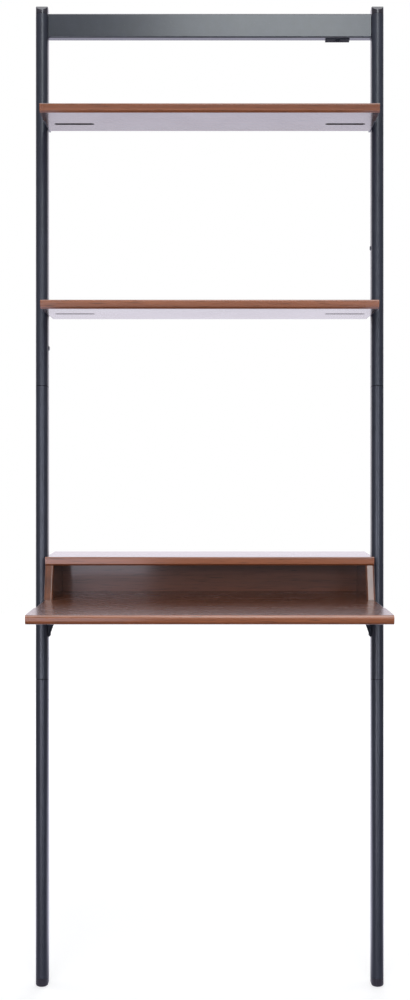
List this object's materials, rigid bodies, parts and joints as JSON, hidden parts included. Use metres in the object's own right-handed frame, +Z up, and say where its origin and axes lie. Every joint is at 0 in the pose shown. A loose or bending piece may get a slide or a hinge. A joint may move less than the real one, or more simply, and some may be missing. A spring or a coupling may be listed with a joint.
{
  "type": "ladder desk",
  "caption": "Leaning ladder desk: oval steel uprights that lean on a wall carry shallow wood shelves, a desk board with a low open cubby, and a flat top rail.",
  "frame": {"origin": "on the floor, under the middle of the desk: bottom centre of the bounding box", "axes": "+X to the right as someone sits at the desk, +Y towards the wall, +Z up"},
  "size_m": [0.665, 0.5498, 1.8512],
  "materials": {
    "painted_steel": "satin powder coat",
    "zinc_steel": "zinc plated",
    "plastic": "moulded",
    "walnut": "glossy walnut laminate",
    "walnut_edge": "glossy walnut edge band",
    "beech": "plain dowel"
  },
  "bodies": {
    "root": {"upright_lower_left": "painted_steel", "upright_lower_right": "painted_steel", "upright_middle_left": "painted_steel", "upright_middle_right": "painted_steel", "upright_upper_left": "painted_steel", "upright_upper_right": "painted_steel", "top_rail": "painted_steel", "rail_end_plate_left": "painted_steel", "rail_end_plate_right": "painted_steel", "wall_bracket": "painted_steel", "upper_shelf_arm_left": "painted_steel", "upper_shelf_arm_right": "painted_steel", "lower_shelf_arm_left": "painted_steel", "lower_shelf_arm_right": "painted_steel", "desk_top_arm_left": "painted_steel", "desk_top_arm_right": "painted_steel", "desk_bracket_left": "painted_steel", "desk_bracket_right": "painted_steel", "sleeve_lower_left": "zinc_steel", "sleeve_lower_right": "zinc_steel", "sleeve_upper_left": "zinc_steel", "sleeve_upper_right": "zinc_steel", "sleeve_screws": "zinc_steel", "rail_bolts": "zinc_steel", "wall_bracket_screw": "zinc_steel", "board_bolts": "zinc_steel", "moon_washers": "zinc_steel", "board_nuts": "zinc_steel", "arm_pins": "zinc_steel", "desk_bracket_bolts": "zinc_steel", "rivet_nuts": "zinc_steel", "desk_bracket_screws": "zinc_steel", "hutch_screws": "zinc_steel", "top_cap_left": "plastic", "top_cap_right": "plastic", "foot_cap_left": "plastic", "foot_cap_right": "plastic", "hole_plugs": "plastic", "upper_shelf": "walnut", "lower_shelf": "walnut", "desk_top": "walnut", "hutch_top": "walnut", "hutch_side_left": "walnut", "hutch_side_right": "walnut", "hutch_back": "walnut", "upper_shelf_edge": "walnut_edge", "lower_shelf_edge": "walnut_edge", "desk_top_edge": "walnut_edge", "hutch_top_edge": "walnut_edge", "hutch_side_edge_left": "walnut_edge", "hutch_side_edge_right": "walnut_edge", "hutch_dowels": "beech"}
  },
  "joints": []
}
